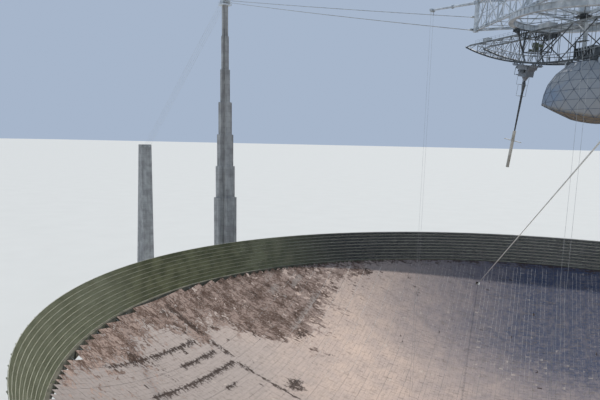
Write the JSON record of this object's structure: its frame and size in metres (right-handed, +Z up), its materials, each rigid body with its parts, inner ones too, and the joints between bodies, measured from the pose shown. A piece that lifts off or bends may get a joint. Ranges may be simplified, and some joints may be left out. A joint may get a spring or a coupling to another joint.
{
  "type": "radio telescope dish, 1:20 scale model",
  "caption": "1:20 model of a fixed spherical radio telescope: bowl and screen under a platform hung from three towers, with a turning arm, domed receiver and line feed.",
  "frame": {"origin": "on the bowl's axis at ground level, at the underside of the centre foundation", "axes": "+Z up along the bowl's axis, +X towards a point midway between tower c and the side opposite tower a, so that towers a, b and c stand at 150, 270 and 30 degrees from +X"},
  "size_m": [29.818, 25.8232, 9.8635],
  "materials": {
    "panel_aluminium": "weathered perforated sheet, stained brown",
    "screen_mesh": "weathered wire mesh on steel posts",
    "concrete": "cast concrete, weather streaked",
    "painted_steel": "weathered light grey paint",
    "dark_steel": "dull dark grey paint",
    "cable_steel": "galvanised strand",
    "dome_panels": "grey white triangular panels, stained at the lower edge",
    "feed_tube": "pale weathered tube"
  },
  "bodies": {
    "structure": {"anchor_pier_a": "concrete", "anchor_pier_b": "concrete", "anchor_pier_c": "concrete", "azimuth_ring": "painted_steel", "backstays_a": "cable_steel", "backstays_b": "cable_steel", "backstays_c": "cable_steel", "centre_foundation": "concrete", "ground_screen_1": "screen_mesh", "ground_screen_2": "screen_mesh", "ground_screen_3": "screen_mesh", "ground_screen_4": "screen_mesh", "ground_screen_5": "screen_mesh", "ground_screen_6": "screen_mesh", "guide_cable": "cable_steel", "main_cables_a": "cable_steel", "main_cables_b": "cable_steel", "main_cables_c": "cable_steel", "platform_inner_frame": "painted_steel", "platform_side_ab": "painted_steel", "platform_side_bc": "painted_steel", "platform_side_ca": "painted_steel", "reflector_sector_1": "panel_aluminium", "reflector_sector_2": "panel_aluminium", "reflector_sector_3": "panel_aluminium", "reflector_sector_4": "panel_aluminium", "reflector_sector_5": "panel_aluminium", "reflector_sector_6": "panel_aluminium", "rim_frame_1": "concrete", "rim_frame_2": "concrete", "rim_frame_3": "concrete", "rim_frame_4": "concrete", "rim_frame_5": "concrete", "rim_frame_6": "concrete", "tiedown_boom_a": "painted_steel", "tiedown_boom_b": "painted_steel", "tiedown_boom_c": "painted_steel", "tiedown_cables_a": "cable_steel", "tiedown_cables_b": "cable_steel", "tiedown_cables_c": "cable_steel", "tower_a": "concrete", "tower_b": "concrete", "tower_c": "concrete", "tower_head_a": "painted_steel", "tower_head_b": "painted_steel", "tower_head_c": "painted_steel"},
    "azimuth_arm": {"arm_cross_frames": "painted_steel", "arm_truss_left": "painted_steel", "arm_truss_right": "painted_steel"},
    "dome": {"dome_carriage": "dark_steel", "dome_lower_shell": "dome_panels", "dome_upper_shell": "dome_panels"},
    "feed_carriage": {"carriage_house": "dark_steel", "line_feed": "feed_tube"}
  },
  "joints": [
    {"name": "azimuth_rotation", "type": "hinge", "parent": "structure", "child": "azimuth_arm", "pos_m": [0, 0, 7.76], "axis": [0, 0, 1], "range_deg": [-270, 450]},
    {"name": "dome_elevation", "type": "hinge", "parent": "azimuth_arm", "child": "dome", "pos_m": [0, 0, 13.56], "axis": [-0.7133, -0.7009, 0], "range_deg": [-2.2, 17.5]},
    {"name": "carriage_elevation", "type": "hinge", "parent": "azimuth_arm", "child": "feed_carriage", "pos_m": [0, 0, 13.56], "axis": [0.7133, 0.7009, 0], "range_deg": [-3.3, 9.9]}
  ]
}
